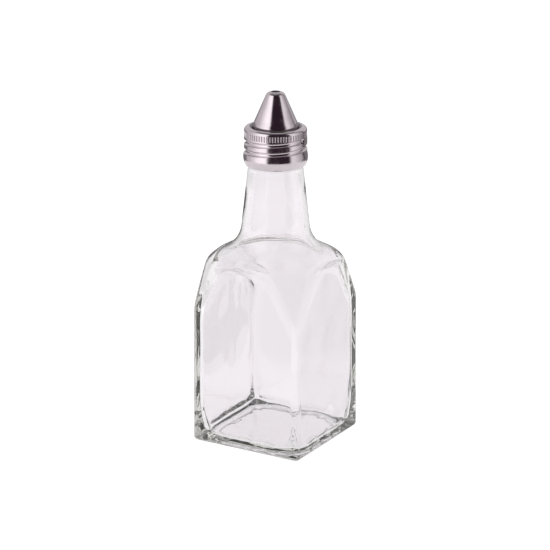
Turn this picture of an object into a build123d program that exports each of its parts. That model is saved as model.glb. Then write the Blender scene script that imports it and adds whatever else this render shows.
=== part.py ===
"""Square glass oil cruet with a screw top: a knurled collar that clamps a conical pour spout.

Millimetres, +Z up. The origin is the centre of the base, on the plane that the bottle stands on.
The panels face -Y, +X, +Y and -X. The collar turns on a right-hand thread.
"""

import math
import os

from build123d import *

# ---- Bottle, outside -------------------------------------------------------
BASE_WIDTH = 57.8  # across the panels, at the base
PANEL_DRAFT = 0.33  # degrees that each panel leans inwards
CORNER_R = 2.6  # vertical corners
HEEL_R = 1.8  # rounding between panels and base
BEVEL_TIP_Z = 67.0  # where the triangular bevel's plane meets the sharp corner of the panels
BEVEL_TOP_Z = 88.0
BEVEL_REACH = 11.5  # how far the bevel cuts into each panel at BEVEL_TOP_Z
BEVEL_END_Z = 97.0  # above this the bevel planes lie outside the glass
SHOULDER_SLOPE = 28.0  # degrees below the horizontal
SHOULDER_RIM_R = 32.0
SHOULDER_RIM_Z = 87.5
SHOULDER_ROUND = 6.6
SIDE_SLOPE = 70.0  # degrees, below the shoulder's rounding
NECK_FOOT_R = 16.9  # where the lines of neck and shoulder would cross
NECK_FOOT_ROUND = 14.0
NECK_TOP_R = 12.9
NECK_TOP_Z = 130.0
FINISH_R = 12.6  # thread root
FINISH_LOW_Z = 131.0
LIP_Z = 145.9
LIP_ROUND = 0.8
PUNT_WIDTH = 43.0  # recess under the base, inside the bearing rim
PUNT_CORNER_R = 9.0
PUNT_DEPTH = 0.8
PUNT_ROUND = 0.6

# ---- Bottle, inside --------------------------------------------------------
WALL = 2.4
INNER_CORNER_R = 6.0
FLOOR_T = 2.2  # over the recess
FLOOR_ROUND = 4.4
BORE_R = 9.6
BORE_END_Z = 132.0
BORE_END_ROUND = 6.0
NECK_IN_R = 11.4  # bore radius at NECK_IN_Z, in the upper half of the neck
NECK_IN_Z = 122.0
NECK_IN_ROUND = 20.0
NECK_IN_FOOT_R = 14.67
NECK_IN_FOOT_Z = 93.77
NECK_IN_FOOT_ROUND = 16.0
SHOULDER_IN_RIM_R = 28.6
SHOULDER_IN_ROUND = 7.0

# ---- Screw thread ----------------------------------------------------------
PITCH = 25.4 / 6
GLASS_CREST_R = 13.45
GLASS_RIDGE_ROOT_W = 2.2
GLASS_RIDGE_CREST_W = 0.8
GLASS_THREAD_TURNS = 1.5
THREAD_AZIMUTH = -59.3  # direction in degrees, from +X, in which the two heights below hold
COLLAR_THREAD_Z = 140.07  # groove centre
COLLAR_THREAD_TOP = 420.0  # degrees round from there to the groove's upper end
COLLAR_THREAD_TURNS = 1.5
THREAD_SEAT = 1.55  # glass ridge above the collar's ridge, when screwed down
GLASS_THREAD_TOP = 225.0
EMBED = 0.3  # how far a thread ridge is sunk into its wall

# ---- Collar, drawn and rolled sheet ----------------------------------------
SHEET = 0.4
RIM_MID_R = 12.55  # circle through the middle of the rolled rim
RIM_MID_Z = 148.3
RIM_HALF_W = 1.95
RIM_ROUND = 1.75
COLLAR_LIP_Z = 147.65  # lower edge of the rim's inside, which presses on the spout's flange
BAND_R = RIM_MID_R + RIM_HALF_W
BAND_LOW_Z = 145.8
BAND_STEP = 0.5  # height of the slope from the knurled band out to the skirt
BAND_ROUND = 0.4
SKIRT_R = 14.6
SKIRT_LOW_Z = 138.7
BEAD_R = 14.95
BEAD_TOP_Z = 136.7
BEAD_ROUND = 3.0
HEM_R = 13.87
HEM_Z = 132.2
HEM_CORNER_Z = 134.0
HEM_ROUND = 7.5
GROOVE_DEPTH = 1.1
GROOVE_ROUND = 1.25
KNURLS = 72
KNURL_DEPTH = 0.2
KNURL_ROUND = 0.4
KNURL_TOP_Z = 148.5

# ---- Pour spout, drawn sheet -----------------------------------------------
SPOUT_FOOT_R = 10.2
SPOUT_KNEE_Z = 151.7
SPOUT_KNEE_ROUND = 4.0
SPOUT_HALF_ANGLE = 23.3
SPOUT_TOP_Z = 166.4
SPOUT_TOP_ROUND = 2.6
POUR_HOLE_R = 2.05
FLANGE_R = 12.9
FLANGE_BEND = 0.25

# ---- Sealing washer --------------------------------------------------------
SEAT_GAP = 0.05
WASHER_T = 1.25
WASHER_BORE_R = 9.9
WASHER_R = 12.8
WASHER_EDGE_ROUND = 0.15

FLANGE_TOP_Z = LIP_Z + SEAT_GAP + WASHER_T + SHEET
CLEAR = 1.0  # how far a cutting shape runs past what it cuts


def profile(points):
    """A closed face in the XZ plane from (radius, height, corner rounding) points."""
    corners = [(r, z) for r, z, _ in points]
    roundings = [rounding for _, _, rounding in points]
    return Plane.XZ * make_face(FilletPolyline(*corners, radius=roundings, close=True))


def sheet_profile(points):
    """A face SHEET thick in the XZ plane, on the inner side of an open line of
    (radius, height, corner rounding) points."""
    corners = [(r, z) for r, z, _ in points]
    roundings = [rounding for _, _, rounding in points[1:-1]]
    line = FilletPolyline(*corners, radius=roundings)
    sides = [make_face(offset(line, SHEET, side=side)) for side in (Side.LEFT, Side.RIGHT)]
    inner = min(sides, key=lambda face: face.bounding_box().max.Y)
    return Plane.XZ * inner


def square_column(width, corner_r, low_z, high_z):
    """A rounded square column that narrows with the panels' draft; width is that at z = 0."""
    low_width = width - 2 * low_z * math.tan(math.radians(PANEL_DRAFT))
    section = Pos(0, 0, low_z) * RectangleRounded(low_width, low_width, corner_r)
    return extrude(section, high_z - low_z, taper=PANEL_DRAFT)


def bevel_blades(inset):
    """Four wedges that take the corners off below the shoulder, moved inwards by inset."""
    draft = math.tan(math.radians(PANEL_DRAFT))
    tip_half = BASE_WIDTH / 2 - BEVEL_TIP_Z * draft
    top_half = BASE_WIDTH / 2 - BEVEL_TOP_Z * draft
    tip_r = tip_half * math.sqrt(2) - inset
    top_r = (2 * top_half - BEVEL_REACH) / math.sqrt(2) - inset
    slope = (tip_r - top_r) / (BEVEL_TOP_Z - BEVEL_TIP_Z)
    end_r = tip_r - slope * (BEVEL_END_Z - BEVEL_TIP_Z)
    low_z = BEVEL_TIP_Z - BASE_WIDTH / 2
    low_r = tip_r + slope * BASE_WIDTH / 2
    wedge = Polyline(
        (low_r, low_z),
        (end_r, BEVEL_END_Z),
        (BASE_WIDTH, BEVEL_END_Z),
        (BASE_WIDTH, low_z),
        close=True,
    )
    blade = extrude(Plane.XZ * make_face(wedge), BASE_WIDTH / 2, both=True)
    return [Rot(0, 0, 45 + 90 * i) * blade for i in range(4)]


def helix_z(height, degrees):
    return height + PITCH * degrees / 360


def helix_point(radius, height, degrees):
    """The point on a thread that passes height at THREAD_AZIMUTH, some degrees further round."""
    angle = math.radians(THREAD_AZIMUTH + degrees)
    return (radius * math.cos(angle), radius * math.sin(angle), helix_z(height, degrees))


def swept_thread(section, radius, height, top_degrees, turns):
    """A section, drawn about the thread's centre line, swept down turns from top_degrees."""
    low_degrees = top_degrees - 360 * turns
    path = Helix(PITCH, PITCH * turns, radius)
    start = Plane(origin=(radius, 0, 0), x_dir=(1, 0, 0), z_dir=(0, -1, 0))
    thread = sweep(start * section, path=path, is_frenet=True)
    return Pos(0, 0, helix_z(height, low_degrees)) * Rot(0, 0, THREAD_AZIMUTH + low_degrees) * thread


def make_glass_bottle():
    side_z = SHOULDER_RIM_Z - (BASE_WIDTH - SHOULDER_RIM_R) * math.tan(math.radians(SIDE_SLOPE))
    shoulder_rise = (SHOULDER_RIM_R - NECK_FOOT_R) * math.tan(math.radians(SHOULDER_SLOPE))
    outside = [
        (0, -CLEAR, 0),
        (BASE_WIDTH, -CLEAR, 0),
        (BASE_WIDTH, side_z, 0),
        (SHOULDER_RIM_R, SHOULDER_RIM_Z, SHOULDER_ROUND),
        (NECK_FOOT_R, SHOULDER_RIM_Z + shoulder_rise, NECK_FOOT_ROUND),
        (NECK_TOP_R, NECK_TOP_Z, 0),
        (FINISH_R, FINISH_LOW_Z, 0),
        (FINISH_R, LIP_Z, LIP_ROUND),
        (0, LIP_Z, 0),
    ]
    column = square_column(BASE_WIDTH, CORNER_R, 0, LIP_Z)
    heel = column.faces().sort_by(Axis.Z)[0].edges()
    column = fillet(heel, HEEL_R)
    glass = column & revolve(profile(outside), Axis.Z)
    glass = glass - bevel_blades(0)

    rim_drop = (SHOULDER_IN_RIM_R - NECK_IN_FOOT_R) * math.tan(math.radians(SHOULDER_SLOPE))
    rim_in_z = NECK_IN_FOOT_Z - rim_drop
    side_in_z = rim_in_z - (BASE_WIDTH - SHOULDER_IN_RIM_R) * math.tan(math.radians(SIDE_SLOPE))
    inside = [
        (0, 0, 0),
        (BASE_WIDTH, 0, 0),
        (BASE_WIDTH, side_in_z, 0),
        (SHOULDER_IN_RIM_R, rim_in_z, SHOULDER_IN_ROUND),
        (NECK_IN_FOOT_R, NECK_IN_FOOT_Z, NECK_IN_FOOT_ROUND),
        (NECK_IN_R, NECK_IN_Z, NECK_IN_ROUND),
        (BORE_R, BORE_END_Z, BORE_END_ROUND),
        (BORE_R, LIP_Z + CLEAR, 0),
        (0, LIP_Z + CLEAR, 0),
    ]
    floor_z = PUNT_DEPTH + FLOOR_T
    hollow = square_column(BASE_WIDTH - 2 * WALL, INNER_CORNER_R, floor_z, LIP_Z + CLEAR)
    floor_edges = hollow.faces().sort_by(Axis.Z)[0].edges()
    hollow = fillet(floor_edges, FLOOR_ROUND)
    hollow = hollow & revolve(profile(inside), Axis.Z)
    hollow = hollow - bevel_blades(WALL)
    glass = glass - hollow

    punt = extrude(RectangleRounded(PUNT_WIDTH, PUNT_WIDTH, PUNT_CORNER_R), PUNT_DEPTH)
    punt_edges = punt.faces().sort_by(Axis.Z)[-1].edges()
    glass = glass - fillet(punt_edges, PUNT_ROUND)

    ridge = Polyline(
        (-EMBED, -GLASS_RIDGE_ROOT_W / 2),
        (0, -GLASS_RIDGE_ROOT_W / 2),
        (GLASS_CREST_R - FINISH_R, -GLASS_RIDGE_CREST_W / 2),
        (GLASS_CREST_R - FINISH_R, GLASS_RIDGE_CREST_W / 2),
        (0, GLASS_RIDGE_ROOT_W / 2),
        (-EMBED, GLASS_RIDGE_ROOT_W / 2),
        close=True,
    )
    thread = swept_thread(
        make_face(ridge), FINISH_R, COLLAR_THREAD_Z + THREAD_SEAT, GLASS_THREAD_TOP, GLASS_THREAD_TURNS
    )
    return glass + thread


def make_screw_collar():
    rim_in_r = RIM_MID_R - RIM_HALF_W
    rim_top_z = RIM_MID_Z + RIM_HALF_W
    outside = [
        (rim_in_r, COLLAR_LIP_Z, 0),
        (rim_in_r, rim_top_z, RIM_ROUND),
        (BAND_R, rim_top_z, RIM_ROUND),
        (BAND_R, BAND_LOW_Z, BAND_ROUND),
        (SKIRT_R, BAND_LOW_Z - BAND_STEP, BAND_ROUND),
        (SKIRT_R, SKIRT_LOW_Z, BEAD_ROUND),
        (BEAD_R, BEAD_TOP_Z, BEAD_ROUND),
        (BEAD_R, HEM_CORNER_Z, HEM_ROUND),
        (HEM_R, HEM_Z, 0),
    ]
    shell = revolve(sheet_profile(outside), Axis.Z)

    groove_mid_r = SKIRT_R - GROOVE_DEPTH + GROOVE_ROUND
    thread_place = (groove_mid_r, COLLAR_THREAD_Z, COLLAR_THREAD_TOP, COLLAR_THREAD_TURNS)
    inner_ridge = swept_thread(Circle(GROOVE_ROUND + SHEET), *thread_place)
    groove = swept_thread(Circle(GROOVE_ROUND), *thread_place)
    for end in (COLLAR_THREAD_TOP, COLLAR_THREAD_TOP - 360 * COLLAR_THREAD_TURNS):
        place = Pos(*helix_point(groove_mid_r, COLLAR_THREAD_Z, end))
        inner_ridge += place * Sphere(GROOVE_ROUND + SHEET)
        groove += place * Sphere(GROOVE_ROUND)
    inside_skirt = Pos(0, 0, HEM_Z) * Cylinder(
        SKIRT_R - SHEET / 2, RIM_MID_Z - HEM_Z, align=(Align.CENTER, Align.CENTER, Align.MIN)
    )
    shell = shell + (inner_ridge & inside_skirt) - groove

    knurl = Cylinder(KNURL_ROUND, KNURL_TOP_Z - BAND_LOW_Z)
    knurl_places = PolarLocations(BAND_R + KNURL_ROUND - KNURL_DEPTH, KNURLS)
    lift = Pos(0, 0, (KNURL_TOP_Z + BAND_LOW_Z) / 2)
    return shell - [lift * place * knurl for place in knurl_places]


def make_pour_cone():
    reach = (SPOUT_TOP_Z - SPOUT_KNEE_Z) * math.tan(math.radians(SPOUT_HALF_ANGLE))
    outside = [
        (FLANGE_R, FLANGE_TOP_Z, 0),
        (SPOUT_FOOT_R, FLANGE_TOP_Z, FLANGE_BEND),
        (SPOUT_FOOT_R, SPOUT_KNEE_Z, SPOUT_KNEE_ROUND),
        (SPOUT_FOOT_R - reach, SPOUT_TOP_Z, SPOUT_TOP_ROUND),
        (POUR_HOLE_R, SPOUT_TOP_Z, 0),
    ]
    return revolve(sheet_profile(outside), Axis.Z)


def make_sealing_washer():
    top_z = FLANGE_TOP_Z - SHEET
    low_z = LIP_Z + SEAT_GAP
    outline = [
        (WASHER_BORE_R, low_z, WASHER_EDGE_ROUND),
        (WASHER_R, low_z, WASHER_EDGE_ROUND),
        (WASHER_R, top_z, WASHER_EDGE_ROUND),
        (WASHER_BORE_R, top_z, WASHER_EDGE_ROUND),
    ]
    return revolve(profile(outline), Axis.Z)


def main():
    os.makedirs("parts", exist_ok=True)
    parts = {
        "glass_bottle": make_glass_bottle(),
        "screw_collar": make_screw_collar(),
        "pour_cone": make_pour_cone(),
        "sealing_washer": make_sealing_washer(),
    }
    for name, part in parts.items():
        part.label = name
        export_step(part, f"parts/{name}.step")


main()
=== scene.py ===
import math

import bpy
import numpy as np
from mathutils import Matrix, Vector


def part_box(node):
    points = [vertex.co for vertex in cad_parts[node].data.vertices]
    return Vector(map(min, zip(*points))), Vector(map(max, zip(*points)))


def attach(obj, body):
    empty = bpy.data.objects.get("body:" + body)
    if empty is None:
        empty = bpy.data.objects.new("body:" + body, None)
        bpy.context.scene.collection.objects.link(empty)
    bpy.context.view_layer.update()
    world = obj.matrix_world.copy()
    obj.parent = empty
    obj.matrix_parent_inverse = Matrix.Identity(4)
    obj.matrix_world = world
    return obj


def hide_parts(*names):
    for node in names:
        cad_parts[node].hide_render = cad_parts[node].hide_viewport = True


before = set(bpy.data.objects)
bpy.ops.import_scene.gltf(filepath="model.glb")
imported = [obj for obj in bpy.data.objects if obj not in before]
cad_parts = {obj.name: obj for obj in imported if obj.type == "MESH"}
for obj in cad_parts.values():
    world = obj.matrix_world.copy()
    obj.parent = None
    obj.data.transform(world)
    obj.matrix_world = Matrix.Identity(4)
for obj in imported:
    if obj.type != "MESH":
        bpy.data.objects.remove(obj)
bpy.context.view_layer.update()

MM = 0.001
GLASS_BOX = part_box("glass_bottle")

# ---- Bottle, outside, in millimetres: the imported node's shape, with softer edges ----
HALF_WIDTH = GLASS_BOX[1][0] / MM
LIP_Z = GLASS_BOX[1][2] / MM
PANEL_DRAFT = 0.33  # degrees that each panel leans inwards
DRAFT = math.tan(math.radians(PANEL_DRAFT))
CORNER_R = 2.6
HEEL_R = 1.8
HEEL_CORNER_R = 0.9  # least corner radius in the heel's rounding
BEVEL_TIP_Z = 67.0
BEVEL_TOP_Z = 88.0
BEVEL_REACH = 11.5
NECK_TOP_Z = 130.0
FINISH_R = 12.6
BEYOND_Z = 160.0  # above the lip, where both profiles end
OUTSIDE = [  # radius, height, corner rounding
    (70.0, -20.0, 0.0),
    (32.0, 87.5, 6.6),
    (16.9, 95.53, 14.0),
    (12.9, NECK_TOP_Z, 0.0),
    (FINISH_R, NECK_TOP_Z + 1.0, 0.0),
    (FINISH_R, BEYOND_Z, 0.0),
]
PUNT_HALF = 21.5
PUNT_CORNER_R = 9.0
PUNT_DEPTH = 0.8
PUNT_EDGE = ((0.75, 0.76), (0.45, 0.62), (0.2, 0.38), (0.05, 0.12), (0.0, 0.02), (-0.15, 0.0))  # inset, z
RIM_CORNER_R = 1.0  # outer corners of the bearing rim
LIP_ROUND = 0.8
LUMP_HEIGHT = 0.48  # of the unevenness of the bearing rim and the floor's edge
LUMP_CIRCLE = 60.0  # radius of the circle that the unevenness is read on
LUMP_SIZE = 11.0
LUMP_SEED = 21

# ---- Bottle, inside ----
WALL = 2.4
INNER_CORNER_R = 2.0
THICK_CORNER_R = 3.8  # in the two corners where more glass gathered
THICK_SPREAD = 120.0  # of x times y, over which a corner changes from the one to the other
FOOT_CORNER_R = 20.0  # added at the base, and fading upwards
FOOT_FADE = 6.0
FLOOR_Z = 3.4
FLOOR_RISE = 0.35  # in the middle of the floor
FLOOR_ROUND = 3.5
FLOOR_CORNER_GROWTH = 1.2  # of the corner radius with the inset, round the floor's edge
BORE_R = 9.6
BORE_END_Z = 132.0
INSIDE = [  # radius, height, corner rounding
    (66.0, -20.0, 0.0),
    (28.6, 86.7, 7.0),
    (14.67, 93.77, 16.0),
    (11.4, 122.0, 20.0),
    (BORE_R, BORE_END_Z, 6.0),
    (BORE_R, BEYOND_Z, 0.0),
]

# ---- Softness of the edges, and waviness of the two skins ----
OUTER_EDGE = 0.9
INNER_EDGE = 3.0
SHOULDER_SOFTNESS = 1.3  # times the edge
OUTER_WAVE = (0.05, 22.0, 3)  # height, size, seed
INNER_WAVE = (0.16, 19.0, 8)
WAVE_COUNT = 7
WAVE_LENGTHS = (0.7, 1.5)  # times the size
WAVE_UPRIGHT = 0.6  # squeezes the height, so that waves run longer upwards
WAVE_SUM = 2.6  # typical height of the sum of the waves
WAVE_START = (3.0, 8.0)  # height where the waves begin, and how far they take to grow
WAVE_END = (128.0, 10.0)  # height where they end, and how far they take to fade

# ---- Screw thread on the glass ----
PITCH = 25.4 / 6
THREAD_CREST = 0.85
THREAD_AZIMUTH = -59.3
THREAD_Z = 141.62
THREAD_TOP = 225.0
THREAD_TURNS = 1.5
THREAD_LOW = THREAD_TOP - 360 * THREAD_TURNS
THREAD_END_FADE = 28.0  # degrees
THREAD_HALF_W = 1.15
THREAD_FLANK_W = 0.7
THREAD_LAPS = range(-3, 4)  # every lap that the thread could lie on

# ---- Rows and rays of the bottle's mesh ----
ARC_STEP = 4.0  # degrees, in the profiles' roundings
PROFILE_SAMPLES = 4000
HIT_REACH = (1.0, 60.0)
HIT_HALVINGS = 26
CORNER_RAYS = 17
PANEL_RAYS = 32
PANEL_SPAN = 38  # degrees to each side of a panel's middle
PUNT_RINGS = (0.12, 0.3, 0.5, 0.7, 0.86, 0.95)
RIM_RINGS = (0.35, 0.7)
FLOOR_RINGS = (0.93, 0.82, 0.68, 0.52, 0.36, 0.2, 0.08)
ROUND_STEP = 10  # degrees, in the heel and the floor's edge
LIP_STEP = 15
PANEL_Z = np.arange(4.0, 65.0, 2.0)
OUTER_FAN_Z = 66.0  # the rays to the shoulder start here on the axis
OUTER_FAN = np.arange(0.0, 69.0, 1.0)
NECK_ROWS = 26
FINISH_START_Z = NECK_TOP_Z + 0.5
FINISH_STEP = 0.27
BORE_LOW_Z = 131.0
BORE_Z = np.arange(LIP_Z - 2.5, BORE_LOW_Z, -2.0)
INNER_FAN_Z = 60.0
INNER_FAN = np.arange(71.0, -0.1, -1.2)
NECK_IN_ROWS = 20
WALL_ROWS = 27

# ---- Materials: metres, and linear colours ----
GLASS_IOR = 1.52
GLASS_TINT = (0.995, 0.971, 0.995, 1)
GLASS_DEPTH_TINT = (0.50, 0.515, 0.43, 1)
GLASS_DEPTH_DENSITY = 12.0
GLASS_MARKS = {"scale": 95.0, "detail": 5.0, "distortion": 1.2}
GLASS_MARK_RANGE = (0.52, 0.74)
GLASS_MARK_ROUGHNESS = 0.03
GLASS_WAVES = {"scale": 150.0, "detail": 1.0}
GLASS_WAVE_STRETCH = (1, 1, 0.45)
GLASS_WAVE_HEIGHT = 0.00002
STEEL_DARK = (0.55, 0.49, 0.52)
STEEL_LIGHT = (0.75, 0.68, 0.715)
# painted shade: the dark colour given to metal faces turned towards the axis, inside the cone and the
# collar's rim
STEEL_INSIDE_SHADE = (0.26, 0.24, 0.25)
STEEL_LINES = {"scale": 9000.0, "detail": 3.0}
STEEL_LINE_RANGE = (0.4, 0.7)
STEEL_CLOUDS = {"scale": 140.0, "detail": 4.0}
STEEL_CLOUD_RANGE = (0.35, 0.7)
STEEL_TONE_RANGE = (0.3, 0.75)
STEEL_TONE = (0.55, 1.0)  # share of the light colour
STEEL_SCRATCHES = {"scale": 260.0, "detail": 6.0, "distortion": 2.0}
STEEL_SCRATCH_STRETCH = (0.25, 1.6, 7.0)
KNURL_FOOT_Z = (0.1454, 0.1459)  # each pair is where a knurl mask starts and where it ends
KNURL_HEAD_Z = (0.1482, 0.149)
KNURL_HOLLOW_R = (0.01431, 0.01447)
KNURL_CREST_R = (0.01445, 0.0145)
FACING_IN = (-0.3, -0.05)  # outward part of the normal, from fully inside to not
CLOUD_ROUGHNESS = (0.07, 0.15)
LINE_ROUGHNESS = 0.05
SCRATCH_ROUGHNESS = 0.12
SCRATCH_WIDTH = 0.012
HOLLOW_ROUGHNESS = 0.2
# painted shade: how much the knurl hollows are darkened in the base colour
HOLLOW_PAINTED_SHADE = 0.6
CREST_POLISH = 0.05
INSIDE_ROUGHNESS = 0.25
LINE_HEIGHT = 0.0000006
SCRATCH_HEIGHT = 0.000002
WASHER_IOR = 1.5
WASHER_SUBSURFACE = 0.08
WASHER_SUBSURFACE_DEPTH = 0.001
WASHER_RINGS = {"scale": 2500.0, "detail": 2.0}
WASHER_MOTTLE = {"scale": 420.0, "detail": 4.0}
WASHER_MOTTLE_RANGE = (0.3, 0.7)
WASHER_GRAIN = {"scale": 2600.0, "detail": 3.0}
WASHER_DARK = (0.74, 0.74, 0.70)
WASHER_LIGHT = (0.85, 0.85, 0.82)
WASHER_ROUGHNESS = (0.42, 0.6)
WASHER_GRAIN_HEIGHT = 0.00001

# ---- Studio: metres, degrees, and brightness with white at 1 ----
WHITE = (1, 1, 1)
BOUNCES = (40, 32, 24)  # in all, through glass, off metal
SOFTBOXES = ((-90, 1.1), (90, 0.9))  # bearing, width
SOFTBOX_TINT = (1, 0.99, 1)
SOFTBOX_STRENGTH = 1.3
SOFTBOX_DISTANCE = 0.9
SOFTBOX_HEIGHT = 0.62
TENT_R = 0.4
TENT_HEIGHT = 0.8
TENT_LEVELS = 31
TENT_STEP = 2.5
TENT_LIGHTS = (  # side, near edge, fading, far edge, strength, share lost in the fading
    (-1, (24, 37), (50, 112), (112, 132), 1.4, 0.55),
    (1, (47, 61), (62, 104), (104, 120), 0.95, 0.5),
)
TENT_AHEAD = 0.012
TENT_BEHIND = (112, 132)
TENT_BEHIND_LEVEL = 0.2
TENT_BEHIND_RISE = 0.4
TENT_BEHIND_RISE_Z = (0.12, 0.2)
TENT_TOP_Z = (0.55, 0.75)
TENT_TOP_LOSS = 0.8
TENT_LEAST = 0.004
TENT_TINT = (0.014, 0.0, 0.009, 1.0)  # added to every level
FLAGS = (  # corners: to the right of the object, and towards the camera
    ((0.055, -0.06), (0.45, -0.33), (0.45, 0.45), (0.055, 0.045)),
    ((-0.055, 0.0), (-0.45, -0.02), (-0.45, 0.45), (-0.055, 0.045)),
)
FLAG_Z = 0.0003
FLAG_LEVEL = 0.07
FLOOR_SIZE = 6.0
FLOOR_DROP = 0.00008
FLOOR_GREY = (0.6, 0.6, 0.6, 1)
FLOOR_ROUGHNESS = 0.9
FLOOR_THROUGH_GLASS = 0.74
FLOOR_IN_METAL = 0.65
FLOOR_TO_CAMERA = 0.93
SKY_BEHIND = (0.2, 0.75)  # cosine from the direction straight behind, at which the sweep starts and is full
SKY_BEHIND_LIFT = 0.5
SKY_CEILING = (0.09, 0.5)  # beside, and behind
SKY_FADE = (0.04, 0.22)
SKY_LOW = 0.82
CAM_LENS = 156.8
CAM_DISTANCE = 1.068
CAM_Z = 0.417
CAM_SHIFT = (-0.6 / 550, 1.9 / 550)
CAM_AZ = math.radians(30.68)
CAM_EL = math.radians(17.63)
FRONT = Vector((math.sin(CAM_AZ), -math.cos(CAM_AZ), 0))
RIGHT = Vector((math.cos(CAM_AZ), math.sin(CAM_AZ), 0))


# ---- Small geometry helpers ----
def rounded(points):
    """A dense (radius, height) line through (radius, height, corner rounding) points."""
    line = []
    for i, (r, z, rounding) in enumerate(points):
        here = np.array((r, z))
        if rounding <= 0 or i in (0, len(points) - 1):
            line.append(here)
            continue
        back = np.array(points[i - 1][:2]) - here
        on = np.array(points[i + 1][:2]) - here
        back /= np.linalg.norm(back)
        on /= np.linalg.norm(on)
        half = math.acos(np.clip(back @ on, -1, 1)) / 2
        reach = rounding / math.tan(half)
        centre = here + (back + on) / np.linalg.norm(back + on) * rounding / math.sin(half)
        first = here + back * reach - centre
        last = here + on * reach - centre
        turn = math.pi - 2 * half
        count = max(2, math.ceil(math.degrees(turn) / ARC_STEP))
        for k in range(count + 1):
            t = k / count
            a = math.sin((1 - t) * turn) / math.sin(turn)
            b = math.sin(t * turn) / math.sin(turn)
            line.append(centre + a * first + b * last)
    return np.array(line)


def square_radius(theta, half, corner_r):
    """Distance from the axis to a rounded square's outline, in direction theta."""
    turned = np.abs((theta + np.pi / 4) % (np.pi / 2) - np.pi / 4)
    c, s = np.cos(turned), np.sin(turned)
    core = half - corner_r
    flat = half / c
    arc = core * (c + s) + np.sqrt(np.maximum(core**2 * (c + s) ** 2 - 2 * core**2 + corner_r**2, 0))
    return np.where(s / c <= core / half, flat, arc)


def soft_max(a, b, k):
    h = np.clip(0.5 + 0.5 * (a - b) / k, 0, 1)
    return b + (a - b) * h + k * h * (1 - h)


def smooth(t):
    return t * t * (3 - 2 * t)


def ease(low, high, value):
    return smooth(np.clip((value - low) / (high - low), 0, 1))


def cavity_corner(x, y, z):
    """Corner radius of the cavity: wide over the floor, then tighter, more so in two corners."""
    thick = ease(-THICK_SPREAD, THICK_SPREAD, x * y)
    wall = INNER_CORNER_R + (THICK_CORNER_R - INNER_CORNER_R) * thick
    return wall + FOOT_CORNER_R * np.exp(-np.maximum(z, 0) / FOOT_FADE)


def ripple(x, y, z, seed, size):
    """A smooth pseudo-random field of about unit height, from a few plane waves."""
    rng = np.random.default_rng(seed)
    total = np.zeros_like(x)
    for _ in range(WAVE_COUNT):
        way = rng.normal(size=3)
        way /= np.linalg.norm(way)
        length = size * rng.uniform(*WAVE_LENGTHS)
        phase = rng.uniform(0, 2 * np.pi)
        across = way[0] * x + way[1] * y + way[2] * WAVE_UPRIGHT * z
        total += np.sin(across * 2 * np.pi / length + phase)
    return total / WAVE_SUM


class Skin:
    """One surface of the glass: rounded square, corner bevels and a turned profile, blended."""

    def __init__(self, points, inset, corner, edge, wave):
        self.inset = inset
        self.corner = corner
        self.edge = edge
        self.wave, self.wave_size, self.seed = wave
        line = rounded(points)
        self.grid = np.linspace(line[0, 1], line[-1, 1], PROFILE_SAMPLES)
        self.radius = np.interp(self.grid, line[:, 1], line[:, 0])
        self.slope = np.gradient(self.radius, self.grid)

    def half(self, z):
        return HALF_WIDTH - self.inset - z * DRAFT

    def outside(self, x, y, z):
        """Signed distance, roughly: positive outside this surface."""
        half = self.half(z)
        corner_r = self.corner(x, y, z)
        qx = np.abs(x) - (half - corner_r)
        qy = np.abs(y) - (half - corner_r)
        panels = np.hypot(np.maximum(qx, 0), np.maximum(qy, 0)) + np.minimum(np.maximum(qx, qy), 0)
        panels -= corner_r
        tip_r = (HALF_WIDTH - BEVEL_TIP_Z * DRAFT) * math.sqrt(2) - self.inset
        top_r = (2 * (HALF_WIDTH - BEVEL_TOP_Z * DRAFT) - BEVEL_REACH) / math.sqrt(2) - self.inset
        lean = (tip_r - top_r) / (BEVEL_TOP_Z - BEVEL_TIP_Z)
        along = (np.abs(x) + np.abs(y)) / math.sqrt(2)
        bevels = (along - tip_r + lean * (z - BEVEL_TIP_Z)) / math.hypot(1, lean)
        slope = np.interp(z, self.grid, self.slope)
        turned = (np.hypot(x, y) - np.interp(z, self.grid, self.radius)) / np.hypot(1, slope)
        column = soft_max(panels, bevels, self.edge)
        shape = soft_max(column, turned, self.edge * SHOULDER_SOFTNESS)
        grown = np.clip((z - WAVE_START[0]) / WAVE_START[1], 0, 1)
        kept = np.clip((WAVE_END[0] - z) / WAVE_END[1], 0, 1)
        dip = 1 + np.maximum(ripple(x, y, z, self.seed, self.wave_size), -1)
        return shape + self.wave * grown * kept * dip

    def hit(self, theta, z0, elevation=0.0):
        """Points where rays from (0, 0, z0) at an elevation leave this surface."""
        dx = np.cos(theta) * math.cos(elevation)
        dy = np.sin(theta) * math.cos(elevation)
        dz = math.sin(elevation)
        low = np.full_like(theta, HIT_REACH[0])
        high = np.full_like(theta, HIT_REACH[1])
        for _ in range(HIT_HALVINGS):
            mid = (low + high) / 2
            out = self.outside(mid * dx, mid * dy, z0 + mid * dz) > 0
            high = np.where(out, mid, high)
            low = np.where(out, low, mid)
        t = (low + high) / 2
        return np.stack((t * dx, t * dy, z0 + t * dz), axis=1)

    def fan(self, theta, z0, elevations):
        return [self.hit(theta, z0, math.radians(degrees)) for degrees in elevations]


def quadrant_angles():
    """Directions round the bottle, packed closely at its four corners."""
    corner = np.linspace(45, PANEL_SPAN, CORNER_RAYS, endpoint=False)
    flat = np.linspace(PANEL_SPAN, -PANEL_SPAN, PANEL_RAYS, endpoint=False)
    other = np.linspace(-PANEL_SPAN, -45, CORNER_RAYS, endpoint=False)
    quarter = np.radians(np.concatenate((corner, flat, other)))[::-1]
    return np.concatenate([quarter + i * np.pi / 2 for i in range(4)])


def ring(theta, radius, z):
    radius = np.broadcast_to(radius, theta.shape)
    z = np.broadcast_to(z, theta.shape)
    return np.stack((radius * np.cos(theta), radius * np.sin(theta), z), axis=1)


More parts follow.
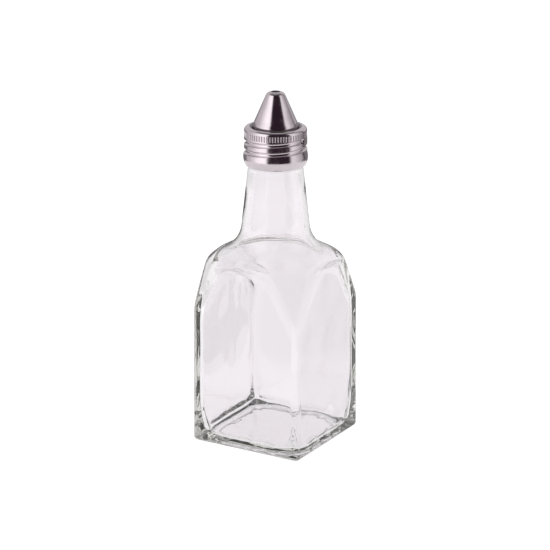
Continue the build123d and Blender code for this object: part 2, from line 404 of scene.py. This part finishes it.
def thread_height(theta, z):
    """How far the screw thread stands out of the neck finish."""
    degrees = np.degrees(theta) - THREAD_AZIMUTH
    best = np.zeros_like(theta)
    for lap in THREAD_LAPS:
        round_here = degrees + 360 * lap
        inside = (round_here > THREAD_LOW) & (round_here < THREAD_TOP)
        fade = np.minimum(round_here - THREAD_LOW, THREAD_TOP - round_here) / THREAD_END_FADE
        away = np.abs(z - THREAD_Z - PITCH * round_here / 360)
        ridge = smooth(np.clip((THREAD_HALF_W - away) / THREAD_FLANK_W, 0, 1))
        best = np.maximum(best, np.where(inside, ridge * np.clip(fade, 0, 1), 0))
    return best * THREAD_CREST


# ---- The bottle, in rows of points from under its base over the lip to its floor ----
def base_rows(theta, lumps, heel_half):
    """The recess under the base, the bearing rim and the heel."""
    punt = square_radius(theta, PUNT_HALF, PUNT_CORNER_R)
    rows = [ring(theta, punt * scale, PUNT_DEPTH) for scale in PUNT_RINGS]
    for inset, z in PUNT_EDGE:
        edge = square_radius(theta, PUNT_HALF - inset, PUNT_CORNER_R - inset)
        rows.append(ring(theta, edge + lumps, z))
    rim_in = punt + lumps
    rim_out = square_radius(theta, heel_half - HEEL_R, RIM_CORNER_R)
    for part in RIM_RINGS:
        rows.append(ring(theta, rim_in + (rim_out - rim_in) * part, 0.0))
    for degrees in range(0, 91, ROUND_STEP):
        a = math.radians(degrees)
        inset = HEEL_R * (1 - math.sin(a))
        corner = max(CORNER_R - inset, HEEL_CORNER_R)
        radius = square_radius(theta, heel_half - inset, corner)
        rows.append(ring(theta, radius, HEEL_R * (1 - math.cos(a))))
    return rows


def outer_rows(theta, outer):
    """Panels, bevels, shoulder, neck and the threaded finish."""
    rows = [outer.hit(theta, z) for z in PANEL_Z]
    rows += outer.fan(theta, OUTER_FAN_Z, OUTER_FAN)
    neck_low = rows[-1][0, 2]
    rows += [outer.hit(theta, z) for z in np.linspace(neck_low, NECK_TOP_Z, NECK_ROWS)[1:]]
    for z in np.arange(FINISH_START_Z, LIP_Z - LIP_ROUND, FINISH_STEP):
        row = outer.hit(theta, z)
        radius = np.hypot(row[:, 0], row[:, 1]) + thread_height(theta, z)
        rows.append(ring(theta, radius, z))
    return rows


def lip_rows(theta):
    rows = []
    for wall_r, way_in, turn in (
        (FINISH_R, -1, range(0, 91, LIP_STEP)),
        (BORE_R, 1, range(90, -1, -LIP_STEP)),
    ):
        for degrees in turn:
            a = math.radians(degrees)
            radius = wall_r + way_in * LIP_ROUND * (1 - math.cos(a))
            rows.append(ring(theta, radius, LIP_Z - LIP_ROUND * (1 - math.sin(a))))
    return rows


def inner_rows(theta, inner):
    """The bore, the inside of the neck and shoulder, and the cavity's walls."""
    rows = [inner.hit(theta, z) for z in BORE_Z]
    fan = inner.fan(theta, INNER_FAN_Z, INNER_FAN)
    neck_low = fan[0][0, 2]
    rows += [inner.hit(theta, z) for z in np.linspace(BORE_LOW_Z, neck_low, NECK_IN_ROWS)[:-1]]
    rows += fan
    low = FLOOR_Z + FLOOR_ROUND
    rows += [inner.hit(theta, z) for z in np.linspace(INNER_FAN_Z, low, WALL_ROWS)[1:]]
    return rows


def floor_rows(theta, lumps, half):
    """The rounding between walls and floor, and the floor, which rises a little to its middle."""
    rows = []
    foot_corner = cavity_corner(half * np.cos(theta), half * np.sin(theta), FLOOR_Z + FLOOR_ROUND)
    for degrees in range(ROUND_STEP, 91, ROUND_STEP):
        a = math.radians(degrees)
        inset = FLOOR_ROUND * (1 - math.cos(a))
        edge = square_radius(theta, half - inset, foot_corner + inset * FLOOR_CORNER_GROWTH)
        swell = lumps * math.sin(a) * math.sqrt(math.cos(a))
        rows.append(ring(theta, edge + swell, FLOOR_Z + FLOOR_ROUND * (1 - math.sin(a))))
    corner = foot_corner + FLOOR_ROUND * FLOOR_CORNER_GROWTH
    edge = square_radius(theta, half - FLOOR_ROUND, corner)
    for scale in FLOOR_RINGS:
        rows.append(ring(theta, edge * scale, FLOOR_Z + FLOOR_RISE * (1 - scale)))
    return rows


def build_mesh(name, rows, theta_count, closed_ends):
    """A tube of rows of points; closed_ends are the two axis points (x, y, z)."""
    points = np.concatenate(rows + [np.array([closed_ends[0]]), np.array([closed_ends[1]])])
    count = len(rows)
    first_pole = count * theta_count
    last_pole = first_pole + 1
    last_row = (count - 1) * theta_count
    faces = []
    for j in range(theta_count):
        k = (j + 1) % theta_count
        faces.append((first_pole, k, j))
        faces.append((last_pole, last_row + j, last_row + k))
    for low in range(0, last_row, theta_count):
        high = low + theta_count
        for j in range(theta_count):
            k = (j + 1) % theta_count
            faces.append((low + j, low + k, high + k, high + j))
    mesh = bpy.data.meshes.new(name)
    mesh.from_pydata((points * MM).tolist(), [], faces)
    mesh.polygons.foreach_set("use_smooth", np.ones(len(faces), bool))
    mesh.update()
    obj = bpy.data.objects.new(name, mesh)
    bpy.context.scene.collection.objects.link(obj)
    return obj


def make_bottle():
    theta = quadrant_angles()
    circle = (LUMP_CIRCLE * np.cos(theta), LUMP_CIRCLE * np.sin(theta), np.zeros_like(theta))
    lumps = LUMP_HEIGHT * ripple(*circle, LUMP_SEED, LUMP_SIZE)
    outer = Skin(OUTSIDE, 0.0, lambda x, y, z: CORNER_R, OUTER_EDGE, OUTER_WAVE)
    inner = Skin(INSIDE, WALL, cavity_corner, INNER_EDGE, INNER_WAVE)
    rows = base_rows(theta, lumps, outer.half(HEEL_R))
    rows += outer_rows(theta, outer)
    rows += lip_rows(theta)
    rows += inner_rows(theta, inner)
    rows += floor_rows(theta, lumps, inner.half(FLOOR_Z + FLOOR_ROUND))
    ends = ((0, 0, PUNT_DEPTH), (0, 0, FLOOR_Z + FLOOR_RISE))
    return build_mesh("bottle_glass", rows, len(theta), ends)


# ---- Materials ----
class Look:
    """A material, and short ways to add the nodes that its detail comes from."""

    def __init__(self, name):
        self.mat = bpy.data.materials.new(name)
        self.mat.use_nodes = True
        self.tree = self.mat.node_tree
        self.bsdf = self.tree.nodes["Principled BSDF"]
        self.place = self.tree.nodes.new("ShaderNodeTexCoord").outputs["Object"]

    def node(self, kind, **values):
        made = self.tree.nodes.new(kind)
        for key, value in values.items():
            setattr(made, key, value)
        return made

    def link(self, source, target):
        self.tree.links.new(source, target)

    def fix(self, **values):
        """Values that are the same all over, set on the shader itself."""
        for key, value in values.items():
            self.bsdf.inputs[key.replace("_", " ")].default_value = value

    def maths(self, operation, *terms):
        made = self.node("ShaderNodeMath", operation=operation)
        for socket, term in zip(made.inputs, terms):
            if isinstance(term, (int, float)):
                socket.default_value = term
            else:
                self.link(term, socket)
        return made.outputs[0]

    def remap(self, value, low, high, to_low, to_high):
        made = self.node("ShaderNodeMapRange", interpolation_type="SMOOTHSTEP")
        self.link(value, made.inputs["Value"])
        made.inputs["From Min"].default_value = low
        made.inputs["From Max"].default_value = high
        made.inputs["To Min"].default_value = to_low
        made.inputs["To Max"].default_value = to_high
        return made.outputs["Result"]

    def stretched(self, *scale):
        made = self.node("ShaderNodeMapping")
        self.link(self.place, made.inputs["Vector"])
        made.inputs["Scale"].default_value = scale
        return made.outputs["Vector"]

    def noise(self, scale, detail, place=None, distortion=0.0):
        made = self.node("ShaderNodeTexNoise")
        self.link(place or self.place, made.inputs["Vector"])
        made.inputs["Scale"].default_value = scale
        made.inputs["Detail"].default_value = detail
        made.inputs["Distortion"].default_value = distortion
        return made.outputs["Fac"]

    def polar(self):
        """Radius from the axis, height, and the two as a vector: the grain of turned work."""
        split = self.node("ShaderNodeSeparateXYZ")
        self.link(self.place, split.inputs[0])
        x, y, z = split.outputs
        square = self.maths("ADD", self.maths("POWER", x, 2.0), self.maths("POWER", y, 2.0))
        radius = self.maths("SQRT", square)
        join = self.node("ShaderNodeCombineXYZ")
        self.link(radius, join.inputs[0])
        self.link(z, join.inputs[2])
        return radius, z, join.outputs[0]

    def inside(self):
        """1 on faces that look towards the axis, 0 on the rest."""
        coords = self.node("ShaderNodeTexCoord")
        flat = self.node("ShaderNodeVectorMath", operation="MULTIPLY")
        flat.inputs[1].default_value = (1, 1, 0)
        out = self.node("ShaderNodeVectorMath", operation="NORMALIZE")
        dot = self.node("ShaderNodeVectorMath", operation="DOT_PRODUCT")
        self.link(self.place, flat.inputs[0])
        self.link(flat.outputs[0], out.inputs[0])
        self.link(coords.outputs["Normal"], dot.inputs[0])
        self.link(out.outputs[0], dot.inputs[1])
        return self.remap(dot.outputs["Value"], *FACING_IN, 1, 0)

    def colour(self, factor, dark, light):
        """Between two colours; dark may be another node's colour."""
        made = self.node("ShaderNodeMix", data_type="RGBA")
        self.link(factor, made.inputs[0])
        for socket, value in ((made.inputs[6], dark), (made.inputs[7], light)):
            if isinstance(value, tuple):
                socket.default_value = (*value, 1)
            else:
                self.link(value, socket)
        return made.outputs[2]

    def bump(self, height, distance):
        made = self.node("ShaderNodeBump")
        made.inputs["Distance"].default_value = distance
        made.inputs["Strength"].default_value = 1.0
        self.link(height, made.inputs["Height"])
        if self.bsdf.inputs["Normal"].links:
            self.link(self.bsdf.inputs["Normal"].links[0].from_socket, made.inputs["Normal"])
        self.link(made.outputs["Normal"], self.bsdf.inputs["Normal"])


def glass_material():
    """Pressed soda glass: faintly green in depth, slightly wavy, with a few handling marks."""
    look = Look("clear_soda_glass")
    look.fix(Transmission_Weight=1.0, IOR=GLASS_IOR, Base_Color=GLASS_TINT)
    marks = look.noise(**GLASS_MARKS)
    rough = look.remap(marks, *GLASS_MARK_RANGE, 0.0, GLASS_MARK_ROUGHNESS)
    look.link(rough, look.bsdf.inputs["Roughness"])
    waves = look.noise(place=look.stretched(*GLASS_WAVE_STRETCH), **GLASS_WAVES)
    look.bump(waves, GLASS_WAVE_HEIGHT)
    absorb = look.node("ShaderNodeVolumeAbsorption")
    absorb.inputs["Color"].default_value = GLASS_DEPTH_TINT
    absorb.inputs["Density"].default_value = GLASS_DEPTH_DENSITY
    look.link(absorb.outputs[0], look.tree.nodes["Material Output"].inputs["Volume"])
    return look.mat


def steel_material():
    """Bright stainless sheet: fine spinning lines, hairline scratches, and knurl hollows that are rougher
    and darkened with painted shade.
    """
    look = Look("polished_stainless")
    look.fix(Metallic=1.0)
    radius, height, turned = look.polar()
    lines = look.noise(place=turned, **STEEL_LINES)
    clouds = look.noise(**STEEL_CLOUDS)
    scratches = look.noise(place=look.stretched(*STEEL_SCRATCH_STRETCH), **STEEL_SCRATCHES)
    from_middle = look.maths("ABSOLUTE", look.maths("SUBTRACT", scratches, 0.5))
    scratch = look.remap(from_middle, 0.0, SCRATCH_WIDTH, 1.0, 0.0)
    above_foot = look.remap(height, *KNURL_FOOT_Z, 0, 1)
    knurled = look.maths("MULTIPLY", above_foot, look.remap(height, *KNURL_HEAD_Z, 1, 0))
    hollow = look.maths("MULTIPLY", knurled, look.remap(radius, *KNURL_HOLLOW_R, 1, 0))
    worn = look.maths("MULTIPLY", knurled, look.remap(radius, *KNURL_CREST_R, 0, 1))
    # faces turned towards the axis: made rougher, and darkened with painted shade
    inside_rough_and_shaded = look.inside()
    rough = look.remap(clouds, *STEEL_CLOUD_RANGE, *CLOUD_ROUGHNESS)
    rough = look.maths("ADD", rough, look.remap(lines, *STEEL_LINE_RANGE, 0, LINE_ROUGHNESS))
    for mask, amount in (
        (scratch, SCRATCH_ROUGHNESS),
        (hollow, HOLLOW_ROUGHNESS),
        (worn, -CREST_POLISH),
        (inside_rough_and_shaded, INSIDE_ROUGHNESS),
    ):
        rough = look.maths("ADD", rough, look.maths("MULTIPLY", mask, amount))
    look.link(rough, look.bsdf.inputs["Roughness"])
    # painted shade: the knurl hollows are darkened in the colour, as if shade fell in them
    painted_hollow_shade = look.maths("MULTIPLY", hollow, HOLLOW_PAINTED_SHADE)
    tone = look.maths("SUBTRACT", look.remap(clouds, *STEEL_TONE_RANGE, *STEEL_TONE), painted_hollow_shade)
    tint = look.colour(tone, STEEL_DARK, STEEL_LIGHT)
    # painted shade: faces turned towards the axis are darkened in their colour
    look.link(look.colour(inside_rough_and_shaded, tint, STEEL_INSIDE_SHADE), look.bsdf.inputs["Base Color"])
    look.bump(lines, LINE_HEIGHT)
    look.bump(scratch, SCRATCH_HEIGHT)
    return look.mat


def washer_material():
    """Moulded polyethylene: faintly mottled, with the grain of its mould and pressed-in rings."""
    look = Look("washer_plastic")
    look.fix(IOR=WASHER_IOR, Subsurface_Weight=WASHER_SUBSURFACE, Subsurface_Scale=WASHER_SUBSURFACE_DEPTH)
    turned = look.polar()[-1]
    rings = look.noise(place=turned, **WASHER_RINGS)
    mottle = look.noise(**WASHER_MOTTLE)
    rough = look.remap(mottle, *WASHER_MOTTLE_RANGE, *WASHER_ROUGHNESS)
    look.link(look.colour(mottle, WASHER_DARK, WASHER_LIGHT), look.bsdf.inputs["Base Color"])
    look.link(rough, look.bsdf.inputs["Roughness"])
    look.bump(look.noise(**WASHER_GRAIN), WASHER_GRAIN_HEIGHT)
    look.bump(rings, WASHER_GRAIN_HEIGHT)
    return look.mat


glass = glass_material()
steel = steel_material()
washer = washer_material()

bottle = make_bottle()
bottle.data.materials.append(glass)
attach(bottle, "bottle")
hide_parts("glass_bottle")
for name, mat in (("screw_collar", steel), ("pour_cone", steel), ("sealing_washer", washer)):
    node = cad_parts[name]
    node.data.materials.clear()
    node.data.materials.append(mat)

# ---- Studio ----
scene = bpy.context.scene
scene.view_settings.view_transform = "Standard"
scene.cycles.max_bounces, scene.cycles.transmission_bounces, scene.cycles.glossy_bounces = BOUNCES


def way(phi):
    """Level direction phi degrees to the right of the camera, seen from the object."""
    return FRONT * math.cos(math.radians(phi)) + RIGHT * math.sin(math.radians(phi))


def emitter(name, colour, strength):
    mat = bpy.data.materials.new(name)
    mat.use_nodes = True
    tree = mat.node_tree
    tree.nodes.clear()
    emit = tree.nodes.new("ShaderNodeEmission")
    emit.inputs["Color"].default_value = (*colour, 1)
    emit.inputs["Strength"].default_value = strength
    out = tree.nodes.new("ShaderNodeOutputMaterial")
    tree.links.new(emit.outputs[0], out.inputs["Surface"])
    return mat


def stage_object(name, points, faces, mat, unseen_by):
    """A piece of the studio that the camera never sees, nor the kinds of ray in unseen_by."""
    mesh = bpy.data.meshes.new(name)
    mesh.from_pydata(points, [], faces)
    mesh.materials.append(mat)
    obj = bpy.data.objects.new(name, mesh)
    scene.collection.objects.link(obj)
    for kind in ("camera", *unseen_by):
        setattr(obj, "visible_" + kind, False)
    return obj


def make_softboxes():
    """Upright cards that face the object and light the floor and the washer."""
    mat = emitter("soft_light", SOFTBOX_TINT, SOFTBOX_STRENGTH)
    for phi, width in SOFTBOXES:
        half = width / 2
        points = [(-half, 0, 0), (half, 0, 0), (half, 0, SOFTBOX_HEIGHT), (-half, 0, SOFTBOX_HEIGHT)]
        obj = stage_object("softbox", points, [(0, 1, 2, 3)], mat, ("glossy", "transmission"))
        obj.location = way(phi) * SOFTBOX_DISTANCE
        obj.rotation_euler = (0, 0, CAM_AZ + math.radians(phi))


def tent_brightness(phi, z):
    """What polished metal sees around it: dark ahead, a soft light on each side, dim behind."""
    level = TENT_AHEAD
    for side, near, fading, far, strength, loss in TENT_LIGHTS:
        lit = ease(*near, side * phi) * (1 - ease(*far, side * phi))
        level += strength * lit * (1 - loss * ease(*fading, side * phi))
    behind = TENT_BEHIND_LEVEL + TENT_BEHIND_RISE * ease(*TENT_BEHIND_RISE_Z, z)
    level += behind * ease(*TENT_BEHIND, abs(phi))
    return level * (1 - TENT_TOP_LOSS * ease(*TENT_TOP_Z, z)) + TENT_LEAST


def make_tent():
    """A cylinder round the object that only reflections see, with its brightness in its vertices."""
    phis = np.arange(-180, 180, TENT_STEP)
    levels = np.linspace(0, TENT_HEIGHT, TENT_LEVELS)
    points = [way(p) * TENT_R + Vector((0, 0, z)) for z in levels for p in phis]
    n = len(phis)
    faces = [
        (i * n + j, i * n + (j + 1) % n, (i + 1) * n + (j + 1) % n, (i + 1) * n + j)
        for i in range(len(levels) - 1)
        for j in range(n)
    ]
    mat = emitter("tent", WHITE, 1.0)
    tent = stage_object("tent", points, faces, mat, ("diffuse", "transmission", "shadow"))
    tone = tent.data.color_attributes.new("tone", "FLOAT_COLOR", "POINT")
    values = [tent_brightness(float(p), float(z)) for z in levels for p in phis]
    colours = np.array(values)[:, None] + np.array(TENT_TINT)
    tone.data.foreach_set("color", colours.ravel().astype(np.float32))
    attribute = mat.node_tree.nodes.new("ShaderNodeVertexColor")
    attribute.layer_name = "tone"
    emission = next(n for n in mat.node_tree.nodes if n.type == "EMISSION")
    mat.node_tree.links.new(attribute.outputs["Color"], emission.inputs["Color"])


def make_flags():
    """Dark cards lying at the sides, out of the picture: they draw the glass's outlines."""
    for outline in FLAGS:
        points = [RIGHT * across + FRONT * ahead + Vector((0, 0, FLAG_Z)) for across, ahead in outline]
        mat = emitter("flag", WHITE, FLAG_LEVEL)
        stage_object("flag", points, [tuple(range(len(points)))], mat, ("diffuse", "glossy", "shadow"))


def make_floor():
    """A pale floor, a little dimmer to glass and metal than to the camera."""
    bpy.ops.mesh.primitive_plane_add(size=FLOOR_SIZE, location=(0, 0, -FLOOR_DROP))
    floor = bpy.context.object
    floor.name = "floor"
    mat = bpy.data.materials.new("studio_floor")
    mat.use_nodes = True
    tree = mat.node_tree
    bsdf = tree.nodes["Principled BSDF"]
    bsdf.inputs["Base Color"].default_value = FLOOR_GREY
    bsdf.inputs["Roughness"].default_value = FLOOR_ROUGHNESS
    bsdf.inputs["Specular IOR Level"].default_value = 0.0
    bsdf.inputs["Emission Color"].default_value = (*WHITE, 1)
    path = tree.nodes.new("ShaderNodeLightPath")
    reflected = tree.nodes.new("ShaderNodeMapRange")
    reflected.inputs["To Min"].default_value = FLOOR_THROUGH_GLASS
    reflected.inputs["To Max"].default_value = FLOOR_IN_METAL
    direct = tree.nodes.new("ShaderNodeMapRange")
    direct.inputs["To Max"].default_value = FLOOR_TO_CAMERA
    tree.links.new(path.outputs["Is Reflection Ray"], reflected.inputs["Value"])
    tree.links.new(reflected.outputs["Result"], direct.inputs["To Min"])
    tree.links.new(path.outputs["Is Camera Ray"], direct.inputs["Value"])
    tree.links.new(direct.outputs["Result"], bsdf.inputs["Emission Strength"])
    floor.data.materials.append(mat)


def make_sky():
    """White all round for the camera. For the rest: pale low down, a bright sweep behind, dim above."""
    world = bpy.data.worlds.new("studio")
    world.use_nodes = True
    sky = world.node_tree

    def node(kind, operation=None, **values):
        made = sky.nodes.new(kind)
        if operation:
            made.operation = operation
        for key, value in values.items():
            made.inputs[key.replace("_", " ")].default_value = value
        return made

    direction = node("ShaderNodeTexCoord").outputs["Generated"]
    level = node("ShaderNodeVectorMath", "MULTIPLY")
    level.inputs[1].default_value = (1, 1, 0)
    bearing = node("ShaderNodeVectorMath", "NORMALIZE")
    facing = node("ShaderNodeVectorMath", "DOT_PRODUCT")
    facing.inputs[1].default_value = -FRONT
    behind = node("ShaderNodeMapRange", From_Min=SKY_BEHIND[0], From_Max=SKY_BEHIND[1])
    height = node("ShaderNodeSeparateXYZ")
    lift = node("ShaderNodeMath", "MULTIPLY")
    lift.inputs[1].default_value = SKY_BEHIND_LIFT
    lower = node("ShaderNodeMath", "SUBTRACT")
    ceiling = node("ShaderNodeMapRange", To_Min=SKY_CEILING[0], To_Max=SKY_CEILING[1])
    fade = node("ShaderNodeMapRange", From_Min=SKY_FADE[0], From_Max=SKY_FADE[1], To_Min=SKY_LOW)
    fade.interpolation_type = "SMOOTHSTEP"
    path = node("ShaderNodeLightPath")
    seen = node("ShaderNodeMix")
    seen.data_type = "RGBA"
    seen.inputs[7].default_value = (*WHITE, 1)
    for source, target in (
        (direction, level.inputs[0]),
        (level.outputs[0], bearing.inputs[0]),
        (bearing.outputs[0], facing.inputs[0]),
        (facing.outputs["Value"], behind.inputs["Value"]),
        (behind.outputs["Result"], lift.inputs[0]),
        (behind.outputs["Result"], ceiling.inputs["Value"]),
        (direction, height.inputs[0]),
        (height.outputs["Z"], lower.inputs[0]),
        (lift.outputs[0], lower.inputs[1]),
        (lower.outputs[0], fade.inputs["Value"]),
        (ceiling.outputs["Result"], fade.inputs["To Max"]),
        (fade.outputs["Result"], seen.inputs[6]),
        (path.outputs["Is Camera Ray"], seen.inputs[0]),
        (seen.outputs[2], sky.nodes["Background"].inputs["Color"]),
    ):
        sky.links.new(source, target)
    scene.world = world


def make_camera():
    data = bpy.data.cameras.new("camera")
    data.lens = CAM_LENS
    data.shift_x, data.shift_y = CAM_SHIFT
    cam = bpy.data.objects.new("camera", data)
    scene.collection.objects.link(cam)
    cam.location = FRONT * CAM_DISTANCE + Vector((0, 0, CAM_Z))
    view = -FRONT * math.cos(CAM_EL) + Vector((0, 0, -math.sin(CAM_EL)))
    cam.rotation_euler = view.to_track_quat("-Z", "Y").to_euler()
    scene.camera = cam


make_softboxes()
make_tent()
make_flags()
make_floor()
make_sky()
make_camera()

bpy.context.view_layer.update()
